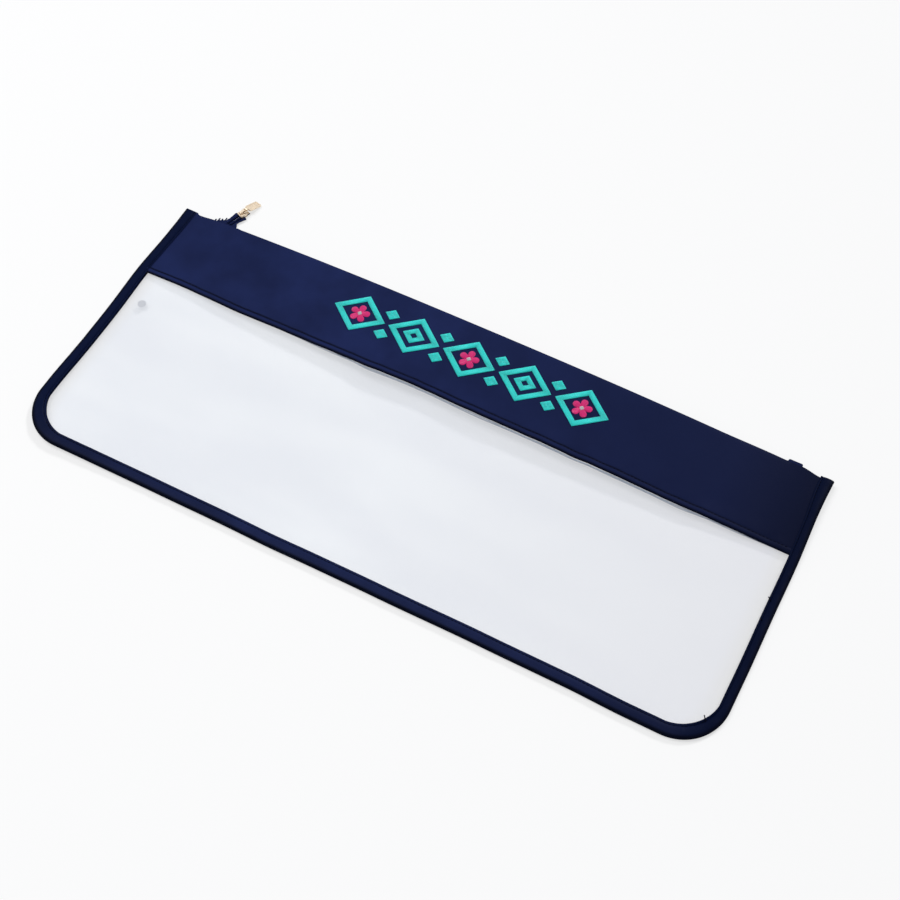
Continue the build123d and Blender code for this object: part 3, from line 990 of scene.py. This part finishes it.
def lozenge_point(t, half_wide, half_high):
    """The point at share t of the way round a lozenge."""
    corners = [(half_wide, 0), (0, half_high), (-half_wide, 0), (0, -half_high)]
    i = int(t * 4) % 4
    f = t * 4 - int(t * 4)
    a = corners[i]
    b = corners[(i + 1) % 4]
    return a[0] + (b[0] - a[0]) * f, a[1] + (b[1] - a[1]) * f


def on_band(x, y, raised):
    """A point that is raised above the front band's cloth."""
    return mm(x, y, front(x, y) + raised)


def lozenge_ring(name, cx, cy, outer, inner, material):
    """A satin-stitched lozenge outline, raised along the middle of its width."""
    def place(t, r):
        ox, oy = lozenge_point(t, *outer)
        ix, iy = lozenge_point(t, *inner)
        x = cx + ix + (ox - ix) * r
        y = cy + iy + (oy - iy) * r
        return on_band(x, y, 0.1 + 0.55 * math.sqrt(max(0.0, 1 - (2 * r - 1) ** 2)))

    perimeter = 4 * math.hypot(*outer)
    widthways = [0, 0.06, 0.2, 0.4, 0.6, 0.8, 0.94, 1]
    obj = grid_piece(name, spread(0, 1, 48), widthways, place, cell=(perimeter, 5.0), merge=True)
    thicken(obj, 0.3, -1.0)
    finish_piece(obj, "bag", material)


def petal(name, cx, cy, angle, reach, wide, material):
    """A satin-stitched petal that points away from (cx, cy)."""
    def place(a, b):
        along = reach * (0.5 + 0.5 * a)
        swell = math.sqrt(max(0.0, 1 - a * a)) * (1 + 0.25 * a)
        side = wide * swell * b
        x = cx + along * math.cos(angle) - side * math.sin(angle)
        y = cy + along * math.sin(angle) + side * math.cos(angle)
        return on_band(x, y, 0.12 + 0.6 * math.sqrt(max(0.0, (1 - a * a) * (1 - b * b))))

    steps = [math.sin(math.radians(90 * i / 7)) for i in range(-7, 8)]
    obj = grid_piece(name, steps, spread(-1, 1, 8), place, cell=(reach / 2, wide), merge=True)
    thicken(obj, 0.25, -1.0)
    finish_piece(obj, "bag", material)


def blossom(name, cx, cy, size):
    """Five pink petals and a white middle."""
    for i in range(5):
        angle = math.radians(90 + 72 * i)
        petal(f"{name}_petal_{i + 1}", cx + 0.9 * math.cos(angle), cy + 0.9 * math.sin(angle), angle,
              size, size * 0.36, "thread_pink")
    lozenge_ring(f"{name}_middle", cx, cy, (1.9, 1.9), FILLED, "thread_white")


class TILEBAG_OT_ornament(bpy.types.Operator):
    """Sew a row of lozenges and blossoms on the front band"""

    bl_idname = "tilebag.ornament"
    bl_label = "Ornament"

    def execute(self, context):
        middle_x, middle_y = -6.0, 92.0
        spacing = 49.5
        half_high = settings().ornament_height / MM / 2
        half_wide = half_high * 1.24
        aqua = "thread_aqua"
        for i in range(5):
            x = middle_x + (i - 2) * spacing
            inner = (half_wide - 6.6, half_high - 5.4)
            lozenge_ring(f"lozenge_{i + 1}", x, middle_y, (half_wide, half_high), inner, aqua)
            if i % 2 == 0:
                blossom(f"blossom_{i // 2 + 1}", x, middle_y, 7.6)
            else:
                lozenge_ring(f"small_lozenge_{i}", x, middle_y, (9.6, 7.8), (3.6, 2.9), aqua)
        for i in range(4):
            x = middle_x + (i - 1.5) * spacing
            for j, aside in enumerate((-10.5, 10.5)):
                name = f"link_lozenge_{2 * i + j + 1}"
                lozenge_ring(name, x, middle_y + aside, (6.2, 5.0), FILLED, aqua)
        return {"FINISHED"}


# Small things

# Where each loose end of thread leaves the binding, and where it ends
LOOSE_THREADS = (
    ((285.6, 6.4), (282.4, 8.9)),
    ((285.4, -11.4), (283.3, -9.8)),
    ((279.4, -102.4), (276.7, -98.3)),
)

# The solids that show as they are, by their material
SOLID_FINISHES = {
    "gold_plate": ("slider_body", "slider_bridge", "pull_link", "pull_tab", "zipper_bottom_stop",
                   "zipper_top_stop_front", "zipper_top_stop_back"),
    "coil_nylon": ("tail_coil_left", "tail_coil_right"),
}


class TILEBAG_OT_details(bpy.types.Operator):
    """Add the loose threads, the vent mark and the metal's finish"""

    bl_idname = "tilebag.details"
    bl_label = "Threads, vent and metal"

    def execute(self, context):
        for i, (root, tip) in enumerate(LOOSE_THREADS):
            middle = [(a + b) / 2 for a, b in zip(root, tip)]
            points = [mm(*root, 3.3), mm(*middle, 3.6), mm(*tip, 3.4)]
            finish_piece(tube(f"loose_thread_{i + 1}", points, 0.42), "bag", "thread_navy")
        self.vent()
        for material, names in SOLID_FINISHES.items():
            for name in names:
                for material_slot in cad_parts[name].material_slots:
                    material_slot.material = MATERIALS[material]
        return {"FINISHED"}

    def vent(self):
        """A small round mark with a raised rim, on the front sheet near its left seam."""
        centre_x, centre_y = -268.5, 21.3
        radius = 3.6

        def place(t, r):
            angle = 2 * math.pi * t
            x = centre_x + radius * r * math.cos(angle)
            y = centre_y + radius * r * math.sin(angle)
            rim = 0.1 * smooth(0.7, 0.85, r) * smooth(1.0, 0.9, r)
            return mm(x, y, front(x, y) + 0.06 + rim)

        rings = [0.02, 0.5, 0.7, 0.78, 0.86, 0.93, 1]
        obj = grid_piece("vent_mark_disc", spread(0, 1, 28), rings, place, merge=True)
        thicken(obj, 0.1)
        finish_piece(obj, "bag", "vent_mark")


# Stage

FLOOR_WIDTH = 80
FLOOR_DROP = 0.0005
FLOOR_COLOUR = (0.34, 0.34, 0.34)
FLOOR_GLOW = 0.624
SKY_COLOUR = (0.93, 0.95, 1.0)
SKY_STRENGTH = 0.34

# The camera: its lens, its place in metres, and its own right, up and backward directions
LENS = 64.8
SENSOR_WIDTH = 36.0
CAMERA_PLACE = (0.3156, -0.5958, 1.0514)
CAMERA_RIGHT = (0.88759, 0.46038, 0.01566)
CAMERA_UP = (-0.39425, 0.74163, 0.54272)
CAMERA_BACK = (0.23825, -0.48788, 0.83977)


def floor_material():
    """Pale floor that glows where the camera, gloss or clear sheets see it, and takes the bag's shadow."""
    material = bpy.data.materials.new("pale_floor")
    material.use_nodes = True
    material.node_tree.nodes.clear()
    out = add_node(material, "ShaderNodeOutputMaterial")
    diffuse = add_node(material, "ShaderNodeBsdfDiffuse", {"Color": (*FLOOR_COLOUR, 1)})
    glow = add_node(material, "ShaderNodeEmission", {"Color": (1.0, 1.0, 1.0, 1)})
    path = add_node(material, "ShaderNodeLightPath")
    seen = add_node(material, "ShaderNodeMath", operation="MAXIMUM")
    seen_too = add_node(material, "ShaderNodeMath", operation="MAXIMUM")
    level = add_node(material, "ShaderNodeMath", {1: FLOOR_GLOW}, operation="MULTIPLY")
    total = add_node(material, "ShaderNodeAddShader")
    link(material, path.outputs["Is Camera Ray"], seen.inputs[0])
    link(material, path.outputs["Is Glossy Ray"], seen.inputs[1])
    link(material, seen.outputs[0], seen_too.inputs[0])
    link(material, path.outputs["Is Transmission Ray"], seen_too.inputs[1])
    link(material, seen_too.outputs[0], level.inputs[0])
    link(material, level.outputs[0], glow.inputs["Strength"])
    link(material, diffuse.outputs[0], total.inputs[0])
    link(material, glow.outputs[0], total.inputs[1])
    link(material, total.outputs[0], out.inputs["Surface"])
    return material


def area_light(name, size, power, place, target):
    """A square soft light that faces its target."""
    light = bpy.data.lights.new(name, "AREA")
    light.size = size
    light.energy = power
    obj = bpy.data.objects.new(name, light)
    bpy.context.collection.objects.link(obj)
    obj.location = place
    obj.rotation_euler = (Vector(target) - Vector(place)).to_track_quat("-Z", "Y").to_euler()


def distant_light(name, strength, degrees, direction):
    """Even light from far off in a direction, which seems that many degrees wide."""
    light = bpy.data.lights.new(name, "SUN")
    light.energy = strength
    light.angle = math.radians(degrees)
    obj = bpy.data.objects.new(name, light)
    bpy.context.collection.objects.link(obj)
    obj.location = direction
    obj.rotation_euler = Vector(direction).to_track_quat("Z", "Y").to_euler()


class TILEBAG_OT_stage(bpy.types.Operator):
    """Set up the floor, the lights and the camera"""

    bl_idname = "tilebag.stage"
    bl_label = "Stage"

    def execute(self, context):
        deselect()
        bpy.ops.mesh.primitive_plane_add(size=FLOOR_WIDTH, location=(0, 0, -FLOOR_DROP))
        floor = context.object
        floor.name = "floor"
        floor.data.materials.append(floor_material())
        self.world(context)
        area_light("left_light", size=2.1, power=63.0, place=(-1.65, 0.22, 3.15), target=(0, 0, 0))
        distant_light("back_light", strength=1.7, degrees=9.0, direction=(0.2, 0.9, 0.57))
        context.scene.view_settings.view_transform = "Standard"
        self.camera(context)
        return {"FINISHED"}

    def world(self, context):
        world = bpy.data.worlds.new("studio_air")
        world.use_nodes = True
        background = world.node_tree.nodes["Background"]
        background.inputs["Color"].default_value = (*SKY_COLOUR, 1)
        background.inputs["Strength"].default_value = SKY_STRENGTH
        context.scene.world = world

    def camera(self, context):
        lens = bpy.data.cameras.new("camera")
        lens.lens = LENS
        lens.sensor_width = SENSOR_WIDTH
        lens.clip_start = 0.01
        obj = bpy.data.objects.new("camera", lens)
        context.collection.objects.link(obj)
        turn = Matrix((CAMERA_RIGHT, CAMERA_UP, CAMERA_BACK)).transposed().to_4x4()
        obj.matrix_world = Matrix.Translation(CAMERA_PLACE) @ turn
        context.scene.camera = obj


class TILEBAG_PT_sidebar(bpy.types.Panel):
    """Panel with the bag's settings and the steps that make it"""

    bl_label = "Tile bag"
    bl_idname = "TILEBAG_PT_sidebar"
    bl_space_type = "VIEW_3D"
    bl_region_type = "UI"
    bl_category = "Tile bag"

    def draw(self, context):
        for name in TileBagSettings.__annotations__:
            self.layout.prop(context.scene.tile_bag, name)
        for step in STEPS:
            self.layout.operator(step.bl_idname)


STEPS = (
    TILEBAG_OT_materials,
    TILEBAG_OT_windows,
    TILEBAG_OT_bands,
    TILEBAG_OT_binding,
    TILEBAG_OT_zip,
    TILEBAG_OT_tail,
    TILEBAG_OT_ornament,
    TILEBAG_OT_details,
    TILEBAG_OT_stage,
)


def register():
    bpy.utils.register_class(TileBagSettings)
    for step in STEPS:
        bpy.utils.register_class(step)
    bpy.utils.register_class(TILEBAG_PT_sidebar)
    bpy.types.Scene.tile_bag = bpy.props.PointerProperty(type=TileBagSettings)


def unregister():
    del bpy.types.Scene.tile_bag
    bpy.utils.unregister_class(TILEBAG_PT_sidebar)
    for step in reversed(STEPS):
        bpy.utils.unregister_class(step)
    bpy.utils.unregister_class(TileBagSettings)


def main():
    register()
    deselect()
    bpy.ops.tilebag.materials()
    bpy.ops.tilebag.windows()
    bpy.ops.tilebag.bands()
    bpy.ops.tilebag.binding()
    bpy.ops.tilebag.zip()
    bpy.ops.tilebag.tail()
    bpy.ops.tilebag.ornament()
    bpy.ops.tilebag.details()
    bpy.ops.tilebag.stage()


if __name__ == "__main__":
    main()
